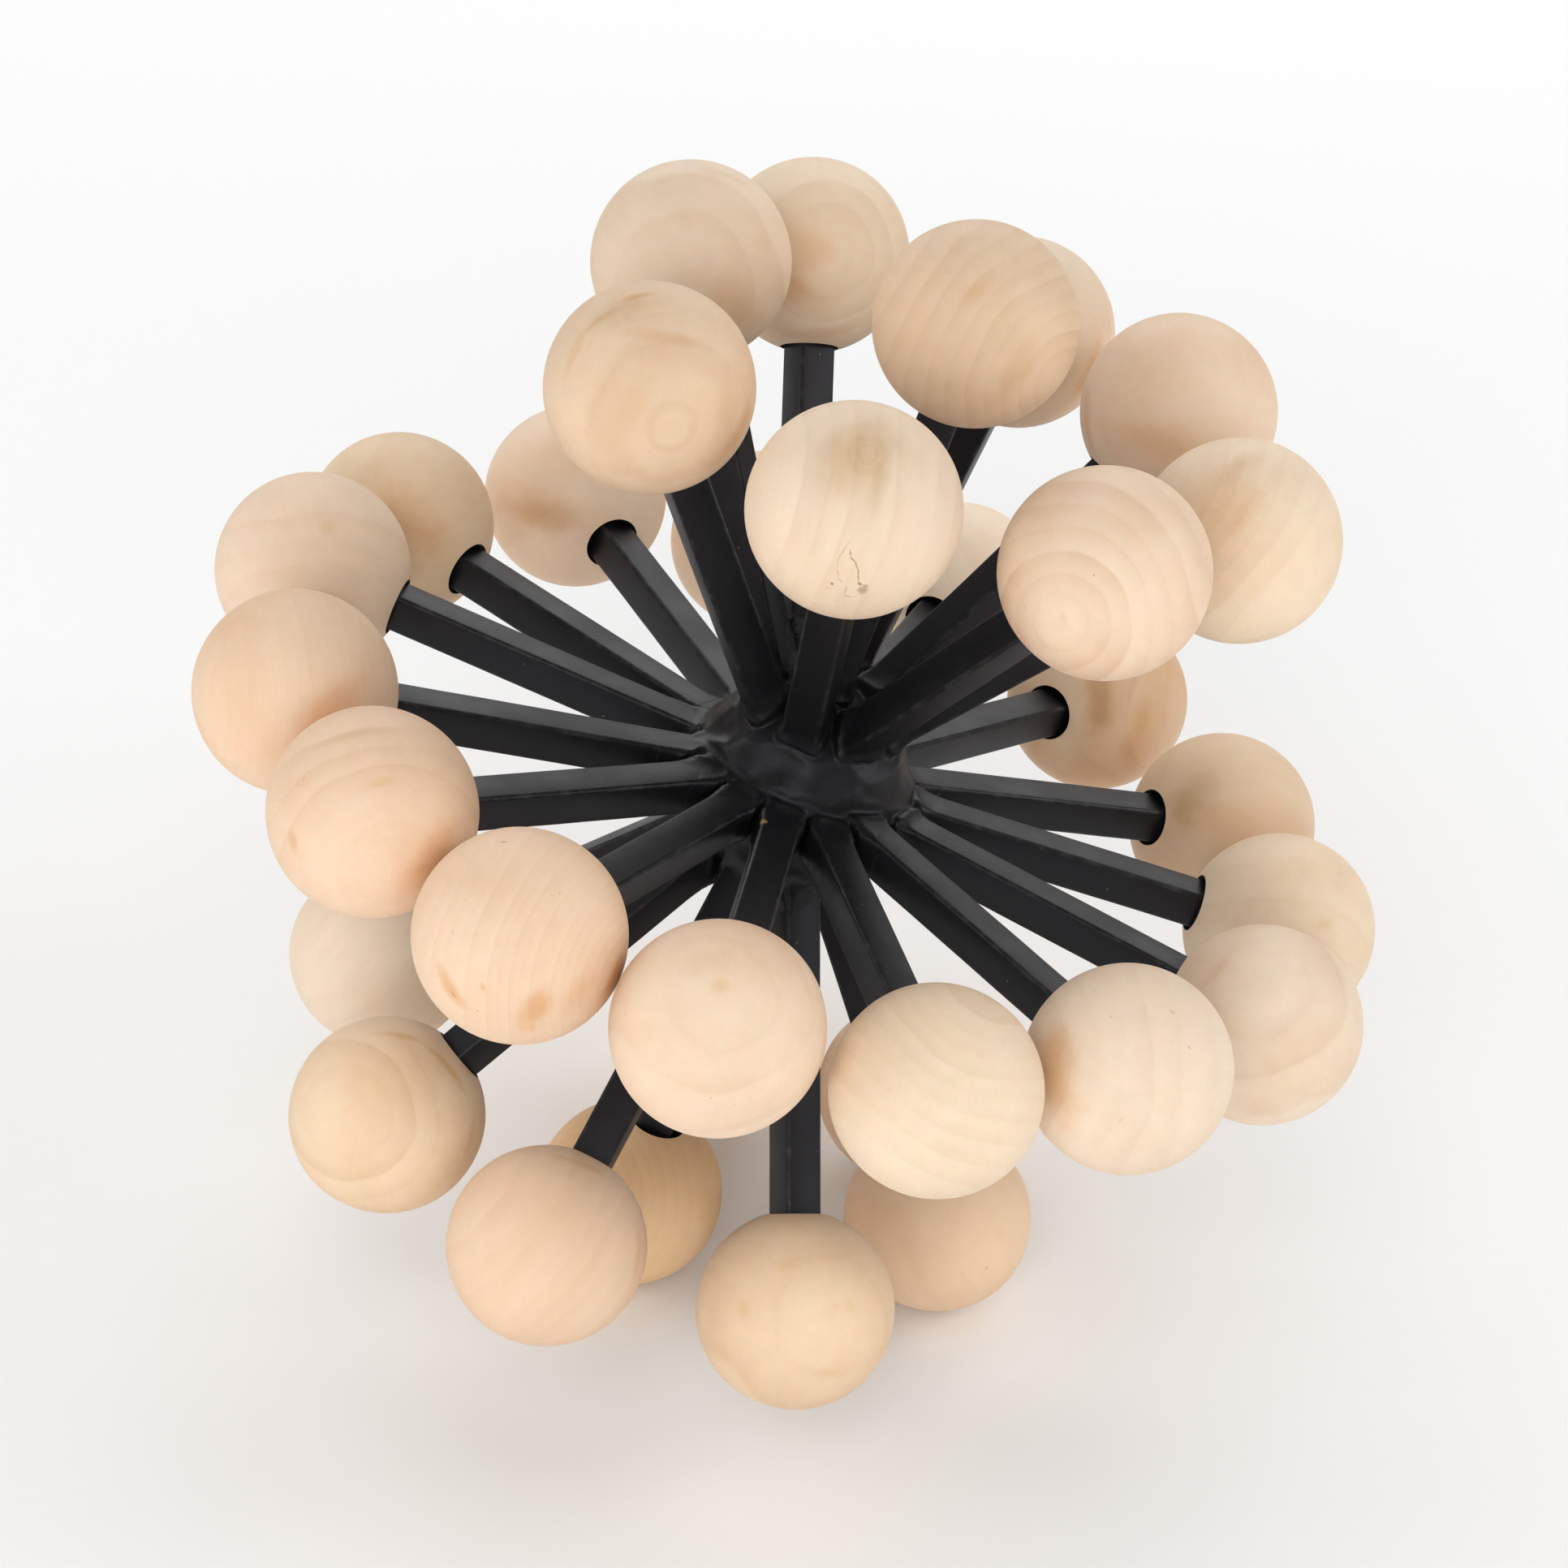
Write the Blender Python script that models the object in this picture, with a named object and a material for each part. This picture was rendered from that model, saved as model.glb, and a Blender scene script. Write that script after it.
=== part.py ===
"""Decorative sphere: turned wooden balls on square steel bars that stand out from a welded hub.

Thirty-three bars radiate from the hub: one at each pole of the sphere, a ring of fifteen round the
middle and a ring of eight above and below it. The bars were set by eye, so each one strays a few
degrees from its even place. The sphere rests on the south ball and two balls of the lower ring, which
leans its poles over.
"""

import itertools
import math

import bmesh
import bpy
from mathutils import Matrix, Vector

# Driving dimensions, in metres
BALL_DIAMETER = 0.050
CLOSEST_GAP = 0.00065
BAR_SIDE = 0.010
BAR_EDGE = 0.0008
HUB_DIAMETER = 0.052
WELD_RISE = 0.0042
SOCKET_CLEARANCE = 0.0004
SOCKET_DEPTH = 0.016
FLAT_WIDTH = 0.009
TOUCH_GAP = 0.0003

# Driving angles, in degrees
WELD_SPREAD = 15.0
LEAN_HEADING = 16.0
SMOOTH_UP_TO = 40.0

# Each ring: its rise above the equator, the turn of its first arm, and how far each arm in order
# strays from its even place, as (turn, rise)
UPPER_RISE = 54.0
UPPER_START = -7.5
UPPER_STRAYS = (
    (0, 0.5), (2, 1), (2, 0), (3.5, 2.5), (0, -5), (-2.5, 0), (-9, 2.5), (-0.5, -1.5),
)
EQUATOR_RISE = 0.0
EQUATOR_START = 2.0
EQUATOR_STRAYS = (
    (0, 1), (-1, 0.5), (-3, 3.5), (2, 0.5), (3.5, -1), (1.5, -1.5), (2.5, -0.5), (0, 2.5),
    (0.5, -0.5), (1, 1), (3.5, -1), (1.3, 0.5), (6.5, 1), (4.5, 1), (2.3, 0.5),
)
LOWER_RISE = -51.0
LOWER_START = -9.0
LOWER_STRAYS = (
    (-0.5, 1), (-0.5, 0.5), (12, -3), (6, -1), (5, -8), (3, -1), (-1, 1), (5, 0.5),
)
NORTH_RISE = 88.0
SOUTH_RISE = -90.0

# The three balls that the sphere stands on
RESTING_BALLS = ("ball_south", "ball_lower_3", "ball_lower_4")

# Facets of the turned balls, the sockets and the hub
BALL_SEGMENTS = 14
BALL_STEPS = 7
HUB_SUBDIVISIONS = 3
BAR_CORNERS = 4

SAME_POINT = 0.00001

BALL_RADIUS = BALL_DIAMETER / 2
BAR_HALF_DIAGONAL = math.hypot(BAR_SIDE / 2, BAR_SIDE / 2 - BAR_EDGE)
SOCKET_RADIUS = (BAR_HALF_DIAGONAL + SOCKET_CLEARANCE) / math.cos(math.pi / BALL_SEGMENTS)
SOCKET_FLOOR = BALL_RADIUS - SOCKET_DEPTH
BAR_ROOT = HUB_DIAMETER / 2 - BAR_SIDE / 2
FLAT_HEIGHT = math.sqrt(BALL_RADIUS ** 2 - (FLAT_WIDTH / 2) ** 2)

# Colour, roughness and metallic value of each material
WOOD = ((0.80, 0.61, 0.43, 1.0), 0.55, 0.0)
PAINTED_STEEL = ((0.022, 0.022, 0.024, 1.0), 0.6, 0.0)


def clear_scene():
    """Remove every object from the scene."""
    for item in list(bpy.data.objects):
        bpy.data.objects.remove(item, do_unlink=True)


def make_material(name, finish):
    """A plain Principled material."""
    colour, roughness, metallic = finish
    material = bpy.data.materials.new(name)
    material.use_nodes = True
    shader = material.node_tree.nodes["Principled BSDF"]
    shader.inputs["Base Color"].default_value = colour
    shader.inputs["Roughness"].default_value = roughness
    shader.inputs["Metallic"].default_value = metallic
    return material


def add_object(name, mesh, matrix, material, parent):
    """Place a mesh in the scene under the sphere's empty."""
    item = bpy.data.objects.new(name, mesh)
    bpy.context.scene.collection.objects.link(item)
    item.parent = parent
    item.matrix_local = matrix
    if not mesh.materials:
        mesh.materials.append(material)
    return item


def mark_as_cutter(item):
    """Keep a helper shape out of the render and draw it as wire."""
    item.hide_render = True
    item.display_type = "WIRE"


def arm_frame(turn, rise):
    """Rotation whose Z runs out along an arm, X to the east and Y to the north."""
    turn_rad = math.radians(turn)
    rise_rad = math.radians(rise)
    out = Vector((
        math.cos(rise_rad) * math.cos(turn_rad),
        math.cos(rise_rad) * math.sin(turn_rad),
        math.sin(rise_rad),
    ))
    east = Vector((-math.sin(turn_rad), math.cos(turn_rad), 0.0))
    north = out.cross(east)
    return Matrix((east, north, out)).transposed()


def ring_arms(prefix, digits, rise, start, strays):
    """Name and rotation of each arm of one ring."""
    arms = {}
    step = 360.0 / len(strays)
    for index, (turn_stray, rise_stray) in enumerate(strays):
        name = f"{prefix}_{index + 1:0{digits}d}"
        arms[name] = arm_frame(start + step * index + turn_stray, rise + rise_stray)
    return arms


def all_arms():
    """Name and rotation of every arm, before the sphere is set down."""
    arms = {
        "ball_north": arm_frame(0.0, NORTH_RISE),
        "ball_south": arm_frame(0.0, SOUTH_RISE),
    }
    arms.update(ring_arms("ball_upper", 1, UPPER_RISE, UPPER_START, UPPER_STRAYS))
    arms.update(ring_arms("ball_equator", 2, EQUATOR_RISE, EQUATOR_START, EQUATOR_STRAYS))
    arms.update(ring_arms("ball_lower", 1, LOWER_RISE, LOWER_START, LOWER_STRAYS))
    return arms


def ball_reach(arms):
    """Distance from hub to ball centres that leaves the closest two balls their gap."""
    directions = [rotation.col[2] for rotation in arms.values()]
    closest = min(one.angle(other) for one, other in itertools.combinations(directions, 2))
    return (BALL_DIAMETER + CLOSEST_GAP) / (2 * math.sin(closest / 2))


def resting_turn(arms, reach):
    """Rotation that sets the three resting balls level, and the height of the hub above the floor."""
    first, second, third = (arms[name].col[2] * reach for name in RESTING_BALLS)
    down = (second - first).cross(third - first).normalized()
    if down.dot(first) < 0:
        down.negate()
    level = down.rotation_difference(Vector((0.0, 0.0, -1.0))).to_matrix()
    pole = level @ Vector((0.0, 0.0, 1.0))
    heading = math.radians(LEAN_HEADING) - math.atan2(pole.y, pole.x)
    height = down.dot(first) + FLAT_HEIGHT
    return Matrix.Rotation(heading, 3, "Z") @ level, height


def turned_mesh(name, profile):
    """Closed mesh of revolution about Z from a profile of (radius, height) points."""
    mesh = bpy.data.meshes.new(name)
    body = bmesh.new()
    points = [body.verts.new((radius, 0.0, height)) for radius, height in profile]
    edges = [body.edges.new(pair) for pair in zip(points, points[1:])]
    bmesh.ops.spin(
        body, geom=points + edges, cent=(0, 0, 0), axis=(0, 0, 1),
        angle=2 * math.pi, steps=BALL_SEGMENTS, use_merge=True,
    )
    bmesh.ops.remove_doubles(body, verts=body.verts, dist=SAME_POINT)
    bmesh.ops.recalc_face_normals(body, faces=body.faces)
    body.to_mesh(mesh)
    body.free()
    mesh.shade_smooth()
    mesh.set_sharp_from_angle(angle=math.radians(SMOOTH_UP_TO))
    return mesh


def ball_arc(first_angle, last_angle):
    """Profile points on the ball from one angle off the Z axis to another, in degrees."""
    points = []
    for step in range(BALL_STEPS + 1):
        angle = math.radians(first_angle + (last_angle - first_angle) * step / BALL_STEPS)
        points.append((BALL_RADIUS * math.sin(angle), BALL_RADIUS * math.cos(angle)))
    return points


def socket_ball_mesh():
    """Ball turned about its arm, with the blind socket for the bar on the hub side."""
    mouth_angle = 180.0 - math.degrees(math.asin(SOCKET_RADIUS / BALL_RADIUS))
    profile = ball_arc(0.0, mouth_angle)
    profile.append((SOCKET_RADIUS, -SOCKET_FLOOR))
    profile.append((0.0, -SOCKET_FLOOR))
    return turned_mesh("socket_ball", profile)


def standing_ball_mesh():
    """Ball turned about the vertical, with the flat spot that it stands on."""
    flat_angle = 180.0 - math.degrees(math.asin(FLAT_WIDTH / BALL_DIAMETER))
    profile = ball_arc(0.0, flat_angle)
    profile.append((0.0, -FLAT_HEIGHT))
    return turned_mesh("standing_ball", profile)


def socket_cutter_mesh():
    """Drill for a socket: a prism about Z from the socket's floor to past the ball's surface."""
    past = BALL_RADIUS + BAR_SIDE
    profile = [
        (0.0, -SOCKET_FLOOR), (SOCKET_RADIUS, -SOCKET_FLOOR), (SOCKET_RADIUS, -past), (0.0, -past),
    ]
    return turned_mesh("socket_drill", profile)


def bars_mesh(arms, reach):
    """Square bars with eased long edges, each from its root in the hub to its end in the ball."""
    mesh = bpy.data.meshes.new("bars")
    body = bmesh.new()
    half = BAR_SIDE / 2
    eased = half - BAR_EDGE
    length = reach - SOCKET_FLOOR - TOUCH_GAP - BAR_ROOT
    for rotation in arms.values():
        outline = []
        for corner in range(BAR_CORNERS):
            quarter = rotation @ Matrix.Rotation(math.tau * corner / BAR_CORNERS, 3, "Z")
            outline.append(quarter @ Vector((half, eased, BAR_ROOT)))
            outline.append(quarter @ Vector((eased, half, BAR_ROOT)))
        root = body.faces.new([body.verts.new(point) for point in outline])
        grown = bmesh.ops.extrude_face_region(body, geom=[root])
        moved = [item for item in grown["geom"] if isinstance(item, bmesh.types.BMVert)]
        bmesh.ops.translate(body, verts=moved, vec=rotation.col[2] * length)
    bmesh.ops.recalc_face_normals(body, faces=body.faces)
    body.to_mesh(mesh)
    body.free()
    return mesh


def hub_mesh(directions):
    """Ball of weld metal that climbs a little way up every bar."""
    mesh = bpy.data.meshes.new("welded_frame")
    body = bmesh.new()
    bmesh.ops.create_icosphere(body, subdivisions=HUB_SUBDIVISIONS, radius=1.0)
    for vertex in body.verts:
        out = vertex.co.normalized()
        nearest = min(out.angle(direction) for direction in directions)
        climb = WELD_RISE * math.exp(-(math.degrees(nearest) / WELD_SPREAD) ** 2)
        vertex.co = out * (HUB_DIAMETER / 2 + climb)
    body.to_mesh(mesh)
    body.free()
    return mesh


def build_frame(arms, reach, material, parent):
    """The welded frame: the hub with every bar joined to it."""
    directions = [rotation.col[2] for rotation in arms.values()]
    frame = add_object("welded_frame", hub_mesh(directions), Matrix.Identity(4), material, parent)
    bars = add_object("bars", bars_mesh(arms, reach), Matrix.Identity(4), material, parent)
    mark_as_cutter(bars)
    weld = frame.modifiers.new("weld", "BOOLEAN")
    weld.operation = "UNION"
    weld.solver = "EXACT"
    weld.use_self = True
    weld.object = bars


def build_hanging_balls(arms, reach, material, parent):
    """Every ball that stays clear of the floor, all from one turned shape."""
    shared_ball = socket_ball_mesh()
    balls = []
    for name, rotation in arms.items():
        if name in RESTING_BALLS:
            continue
        place = Matrix.Translation(rotation.col[2] * reach) @ rotation.to_4x4()
        balls.append(add_object(name, shared_ball, place, material, parent))
    return balls


def build_resting_balls(arms, reach, turn, material, parent):
    """The balls that the sphere stands on, with a flat spot below and a socket drilled for the bar."""
    shared_ball = standing_ball_mesh()
    shared_drill = socket_cutter_mesh()
    upright = turn.inverted().to_4x4()
    balls = []
    for name in RESTING_BALLS:
        centre = Matrix.Translation(arms[name].col[2] * reach)
        ball = add_object(name, shared_ball, centre @ upright, material, parent)
        drill_name = name.replace("ball", "socket_drill")
        drill = add_object(drill_name, shared_drill, centre @ arms[name].to_4x4(), material, parent)
        mark_as_cutter(drill)
        socket = ball.modifiers.new("socket", "BOOLEAN")
        socket.operation = "DIFFERENCE"
        socket.solver = "EXACT"
        socket.object = drill
        balls.append(ball)
    return balls


def centre_on_origin(sphere, balls):
    """Slide the sphere over the floor until its outline is centred on the origin."""
    bpy.context.view_layer.update()
    corners = [ball.matrix_world @ vertex.co for ball in balls for vertex in ball.data.vertices]
    for axis in (0, 1):
        values = [corner[axis] for corner in corners]
        sphere.location[axis] -= (min(values) + max(values)) / 2


def build():
    clear_scene()
    wood = make_material("wood", WOOD)
    steel = make_material("painted_steel", PAINTED_STEEL)
    arms = all_arms()
    reach = ball_reach(arms)
    turn, height = resting_turn(arms, reach)
    sphere = bpy.data.objects.new("sphere", None)
    bpy.context.scene.collection.objects.link(sphere)
    sphere.matrix_world = Matrix.Translation((0.0, 0.0, height)) @ turn.to_4x4()
    build_frame(arms, reach, steel, sphere)
    balls = build_hanging_balls(arms, reach, wood, sphere)
    balls += build_resting_balls(arms, reach, turn, wood, sphere)
    centre_on_origin(sphere, balls)


build()
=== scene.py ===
"""Looks of the decorative sphere: turned wooden balls on square black bars that stand out from a welded hub.

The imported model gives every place: each ball's centre is fitted to its CAD solid, and the hub's centre to
the balls. Lengths are in metres, or in millimetres where a name ends in _MM. Angles are in degrees.
"""

import math
import random

import bmesh
import bpy
import numpy as np
from mathutils import Matrix, Vector, noise


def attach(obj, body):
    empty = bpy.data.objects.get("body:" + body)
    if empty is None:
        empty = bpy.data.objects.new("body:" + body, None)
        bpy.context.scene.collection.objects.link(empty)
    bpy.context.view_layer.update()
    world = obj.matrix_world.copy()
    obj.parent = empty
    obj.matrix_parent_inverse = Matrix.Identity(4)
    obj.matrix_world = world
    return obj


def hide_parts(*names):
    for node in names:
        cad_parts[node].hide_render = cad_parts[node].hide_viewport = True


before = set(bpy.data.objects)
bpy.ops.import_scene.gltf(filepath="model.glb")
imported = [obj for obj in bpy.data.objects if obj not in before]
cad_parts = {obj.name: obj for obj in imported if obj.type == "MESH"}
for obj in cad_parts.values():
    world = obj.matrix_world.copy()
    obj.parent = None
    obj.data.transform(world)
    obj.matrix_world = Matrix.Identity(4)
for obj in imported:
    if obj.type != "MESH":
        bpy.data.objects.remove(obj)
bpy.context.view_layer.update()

MM = 0.001

# Camera
CAMERA_AZIMUTH = -0.09
CAMERA_ELEVATION = 34.7
CAMERA_ROLL = -0.44
CAMERA_DISTANCE = 1.132
CAMERA_AIM = Vector((-0.004, 0.0, 0.1486))
CAMERA_LENS_MM = 101.7
CAMERA_SENSOR_MM = 36.0

# Soft lights of the studio: azimuth, elevation, distance, width and height, watts
LIGHTS = {
    "front_light": (-10, 14, 1.6, (2.2, 0.8), 14.3),
    "upper_front_light": (-10, 40, 1.6, (0.8, 0.8), 5.6),
    "left_light": (-85, 25, 1.6, (1.0, 1.0), 7.8),
    "right_light": (85, 25, 1.6, (1.0, 1.0), 11.4),
    "low_back_light": (180, 22, 1.8, (2.6, 0.7), 12.6),
    "high_back_light": (180, 50, 1.8, (2.6, 1.8), 13.8),
}
SKY_STRENGTH = 0.18
WHITE = (1.0, 1.0, 1.0)

# Floor
FLOOR_REACH = 5.0
FLOOR_COLOUR = (0.90, 0.90, 0.90)
FLOOR_ROUGHNESS = 0.9
FLOOR_GLOSS = 0.1

# Fit of a ball's centre: how often it is done, and how near the farthest corner's distance the others that
# lie on the round come
FIT_ROUNDS = 8
FIT_SHARE = 0.985

# Balls and their sockets
BALL_RADIUS = 0.025
SOCKET_RADIUS = 0.0071
SOCKET_DEPTH = 0.0155
SOCKET_LIP = 0.0004
BALL_TURNS = 96
BALL_RINGS = 56
SOCKET_RINGS = 5
OUT_OF_ROUND = 0.00014
LUMPS_PER_RADIUS = 1.1
LUMP_SHIFT = 50
BALL_SHARP_ANGLE = 50

# Bars; an arm that leans less than the polar lean from the pole has no east of its own
BAR_SIDE = 0.010
BAR_CORNER = 0.0011
BAR_CORNER_STEPS = 5
BAR_RINGS = 30
BAR_ROOT = 0.018
BAR_END_GAP = 0.0005
BAR_WAVE = 0.00005
BAR_WAVES_PER_METRE = 70.0
POLAR_LEAN = 0.01
FRAME_SHARP_ANGLE = 60

# Weld metal of the hub: a ball, and a swelling on its right, each by its place from the hub's centre and
# its radius; how softly they run into the bars; the lumps and beads, which end along the bars
WELD_BALLS = [
    (Vector((0.0, 0.0, 0.0)), 0.0262),
    (Vector((0.0082, -0.0020, -0.0010)), 0.0204),
]
WELD_BALL_SUBDIVISIONS = 4
WELD_BLEND = 0.0024
WELD_INSET = 0.0002
WELD_REACH = 0.041
WELD_VOXEL = 0.00085
WELD_LUMP = 0.0012
WELD_LUMP_PERIOD = 0.0085
WELD_BEAD = 0.00015
WELD_BEAD_PERIOD = 0.0032
WELD_LUMPS_END = 0.036
WELD_LUMPS_FADE = 0.006
SETTLE_STEPS = 4
SETTLE_PROBE = 0.00005
SETTLE_LIMIT = 0.0006
SETTLE_LEAST_SLOPE = 0.2

# Black paint: linear colours, and how much of the lighter ones shows; the light grey along the bars' corners
# is partly wear and partly painted highlight
DARK_PAINT = (0.0058, 0.0056, 0.0068)
LIGHT_PAINT = (0.0105, 0.0102, 0.0122)
EDGE_WEAR_AND_HIGHLIGHT = (0.07, 0.07, 0.07)
EDGE_WEAR_AND_HIGHLIGHT_SHARE = 0.35
EDGE_WEAR_AND_HIGHLIGHT_RANGE = (0.40, 0.75)
DUST_COLOUR = (0.22, 0.20, 0.17)
DUST_SHARE = 0.45
DUST_PER_METRE = 200.0
DUST_SIZE = (0.03, 0.07)
DUST_CHANCE = (0.82, 0.83)
PAINT_CLOUD_RANGE = (0.3, 0.7)
PAINT_ROUGHNESS = (0.37, 0.46)
PAINT_GLOSS = 0.25
PAINT_GLOSS_TINT = (0.94, 0.92, 1.0)
PAINT_RELIEF = 0.00004

# Noise in the paint: scale, detail, roughness
PAINT_CLOUD = (60.0, 3.0, 0.5)
EDGE_WEAR_AND_HIGHLIGHT_NOISE = (260.0, 3.0, 0.5)
PAINT_PEEL = (1800.0, 3.0, 0.6)
CHIP_EDGE = (900.0, 2.0, 0.5)

# Chip in the paint, in its bar's own axes
CHIPPED_ARM = "ball_equator_01"
CHIP_PLACE = Vector((-0.0047, 0.0050, 0.0385))
CHIP_RADIUS = 0.0012
CHIP_FADE = 1.7
CHIP_COLOUR = (0.30, 0.19, 0.06)

# Inside of a socket: painted shade, near black with patches of dark brown wood in shade
SOCKET_SHADE_BLACK = (0.012, 0.011, 0.010)
SOCKET_SHADED_WOOD = (0.030, 0.022, 0.016)
SOCKET_PATCH = (400.0, 3.0, 0.5)
SOCKET_PATCH_RANGE = (0.4, 0.7)
SOCKET_ROUGHNESS = 0.8
SOCKET_GLOSS = 0.2

# Noise in the timber: its scale along the grain against across, its scale per mm, detail, roughness
SLOW_WAVE = (0.3, 0.035, 0.0, 0.5)
QUICK_WAVE = (0.3, 0.10, 0.0, 0.5)
FIBRE = (0.05, 1.1, 3.0, 0.6)
STREAK = (0.12, 0.25, 2.0, 0.5)
BLOTCH = (0.5, 0.04, 1.0, 0.5)
CLOUD = (1.0, 0.05, 1.0, 0.5)
HUE = (0.3, 0.22, 2.0, 0.5)

# Growth rings: how many rings the waves move them; where in a ring its late wood and its line come and go,
# and where its tone gives way to the next one's; how much each darkens the wood
SLOW_WAVE_RINGS = 1.0
QUICK_WAVE_RINGS = 0.22
LATE_RISE = (0.10, 0.80)
LATE_FALL = (0.76, 1.0)
LINE_RISE = (0.70, 0.86)
LINE_FALL = (0.86, 0.99)
BAND_BLEND = (0.80, 1.0)
LATE_SHARE = 0.30
BAND_SHARE = 0.45
FAINTEST_LINE = 0.04
LINE_VARIETY = 0.26
RING_CLOUDS = (0.3, 0.6, 0.45, 1.0)
CALM_SPREAD = (0.3, 1.0)
CALM_FADE = (-1.0, 1.0, 0.25, 1.0)

# How the other noise in the timber darkens, stains and roughens it
FIBRE_MEAN = 0.45
FIBRE_SHARE = 0.29
FIBRE_RANGE = (0.2, 0.8)
STREAK_MEAN = 0.42
STREAK_SHARE = 0.35
BLOTCH_RANGE = (0.40, 0.75)
HUE_SHARE = 0.075
WOOD_ROUGHNESS = (0.50, 0.64)
WOOD_GLOSS = 0.3
WOOD_RELIEF = 0.00003
LATE_RELIEF = 0.3

# Edges of the marks: noise that moves them, as scale, detail and roughness; then by kind, where 1 is the
# mark's nominal edge, how far it is moved and where the mark begins and ends to fade
RAGGED_EDGE = (900.0, 3.0, 0.5)
SOFT_EDGE = (130.0, 2.0, 0.5)
MARK_EDGES = {
    "stain": (1.2, 0.1, 1.3),
    "smoke": (1.2, 0.1, 1.3),
    "tan": (1.2, 0.1, 1.3),
    "fleck": (1.3, 0.4, 1.2),
    "crack": (1.8, 0.4, 1.3),
}
HOOP_MOVE = 0.5
HOOP_RISE = (0.6, 0.95)
HOOP_FALL = (1.0, 1.25)
CRACK_OVERLAP = 1.5

# Tones of the timber: linear colour of the pale wood between the rings. The dim tone is partly painted
# shade, for balls that lie in the shade of others, and the tan tone of ball_south is partly painted warm
# shade
TONES = {
    "white": (0.91, 0.765, 0.605),
    "pale": (0.87, 0.712, 0.552),
    "cream": (0.868, 0.702, 0.520),
    "honey": (0.855, 0.657, 0.455),
    "pink": (0.865, 0.670, 0.500),
    "grey": (0.818, 0.655, 0.492),
    "rose": (0.845, 0.623, 0.445),
    "warm": (0.835, 0.605, 0.410),
    "tan": (0.84, 0.575, 0.335),
    "dim": (0.765, 0.575, 0.400),
}

# Linear colours that the dark, stain, painted shade and tan layers take the wood down by, in the order that
# they lie in. The stain layer holds real stains and also warm painted shade where balls face each other
# and the hub; the greyish-brown layer is painted shade on the balls' tops and on shaded balls
LAYER_TINTS = {
    "dark": (0.85, 0.76, 0.68),
    "stain": (0.86, 0.66, 0.46),
    "smoke": (0.76, 0.68, 0.55),
    "tan": (0.90, 0.80, 0.58),
}
FLECK_COLOUR = (0.32, 0.17, 0.075)

# How each ball's timber lies, as the camera sees it: where its pith crosses the picture plane, in ball
# radii right of and above the ball's middle; the pith's heading in the picture and its tilt away from
# the line of sight, in degrees; the width of its growth rings in mm; how strongly they show; its stain;
# how far from the pith they stay faint, in mm; its tone
TIMBER = {
    "ball_north": (0.84, -0.54, 327, 10, 4.1, 0.8, 0.3, 2, "dim"),
    # Its tan tone is partly painted warm shade under the sphere
    "ball_south": (-0.50, 0.00, 180, 20, 2.6, 0.5, 0.3, 4, "tan"),
    "ball_upper_1": (3.20, 0.40, 77, 87, 5.3, 0.55, 0.0, 0, "grey"),
    "ball_upper_2": (-0.42, -0.45, 220, 6, 5.0, 1.0, 0.1, 5, "pink"),
    "ball_upper_3": (-1.10, 0.75, 145, 10, 4.3, 0.5, 0.2, 2, "cream"),
    "ball_upper_4": (0.12, 0.26, 45, 6, 10.8, 0.6, 0.2, 14, "pink"),
    "ball_upper_5": (-0.80, 0.20, 0, 30, 6.5, 0.4, 0.3, 4, "grey"),
    "ball_upper_6": (0.14, 0.08, 30, 6, 5.4, 0.55, 0.1, 6, "cream"),
    "ball_upper_7": (-0.10, -0.20, 250, 8, 7.6, 0.7, 0.1, 14, "grey"),
    "ball_upper_8": (0.20, -0.36, 300, 6, 6.1, 0.6, 0.2, 22, "dim"),
    "ball_equator_01": (0.02, 0.36, 340, 16, 10.0, 0.8, 0.1, 6, "pink"),
    "ball_equator_02": (0.62, 1.22, 60, 5, 4.7, 0.55, 0.1, 2, "cream"),
    "ball_equator_03": (-1.30, 0.00, 180, 8, 6.6, 0.45, 0.1, 2, "pale"),
    "ball_equator_04": (-0.05, 0.39, 80, 6, 9.6, 0.9, 0.1, 9, "pale"),
    "ball_equator_05": (-0.10, -0.95, 270, 8, 8.0, 0.8, 0.2, 6, "cream"),
    "ball_equator_06": (-1.50, 0.60, 150, 60, 7.5, 0.3, 0.3, 2, "dim"),
    "ball_equator_07": (-0.20, -1.60, 90, 75, 6.0, 0.7, 0.6, 2, "dim"),
    "ball_equator_08": (0.60, 0.50, 45, 30, 7.0, 0.3, 0.1, 8, "white"),
    "ball_equator_09": (2.40, 0.30, 80, 86, 6.0, 0.3, 0.1, 0, "pink"),
    "ball_equator_10": (-0.60, 0.50, 120, 40, 9.0, 0.3, 0.2, 8, "pink"),
    "ball_equator_11": (0.30, 0.35, 180, 10, 8.5, 0.5, 0.2, 8, "honey"),
    "ball_equator_12": (-0.05, -0.95, 270, 8, 6.2, 0.45, 0.1, 6, "pink"),
    "ball_equator_13": (2.60, 0.10, 92, 86, 2.6, 0.25, 0.3, 0, "rose"),
    "ball_equator_14": (0.17, -0.56, 280, 8, 4.0, 0.9, 0.2, 22, "rose"),
    "ball_equator_15": (1.20, -0.45, 340, 8, 2.3, 0.42, 0.2, 6, "rose"),
    "ball_lower_1": (1.60, -1.70, 50, 85, 5.0, 0.4, 0.2, 0, "rose"),
    "ball_lower_2": (0.36, 0.00, 0, 6, 12.6, 1.0, 0.1, 5, "honey"),
    "ball_lower_3": (-0.70, 0.60, 120, 50, 9.0, 0.25, 0.2, 8, "warm"),
    "ball_lower_7": (1.60, -1.20, 50, 80, 8.0, 0.3, 0.1, 0, "pale"),
    "ball_lower_8": (-0.42, 0.05, 200, 8, 5.4, 0.8, 0.3, 14, "honey"),
}
RANDOM_SEED = 33

# Ranges that the timber of a ball out of sight is drawn from, in the order of the values above; and how far
# every ball's timber may be slid along its pith
UNSEEN_TIMBER = [(-0.8, 0.8), (-0.8, 0.8), (0, 360), (10, 80), (4.5, 9.0), (0.4, 0.8), (0.1, 0.3), (0, 12)]
TIMBER_SLIDE_MM = 40
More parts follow.
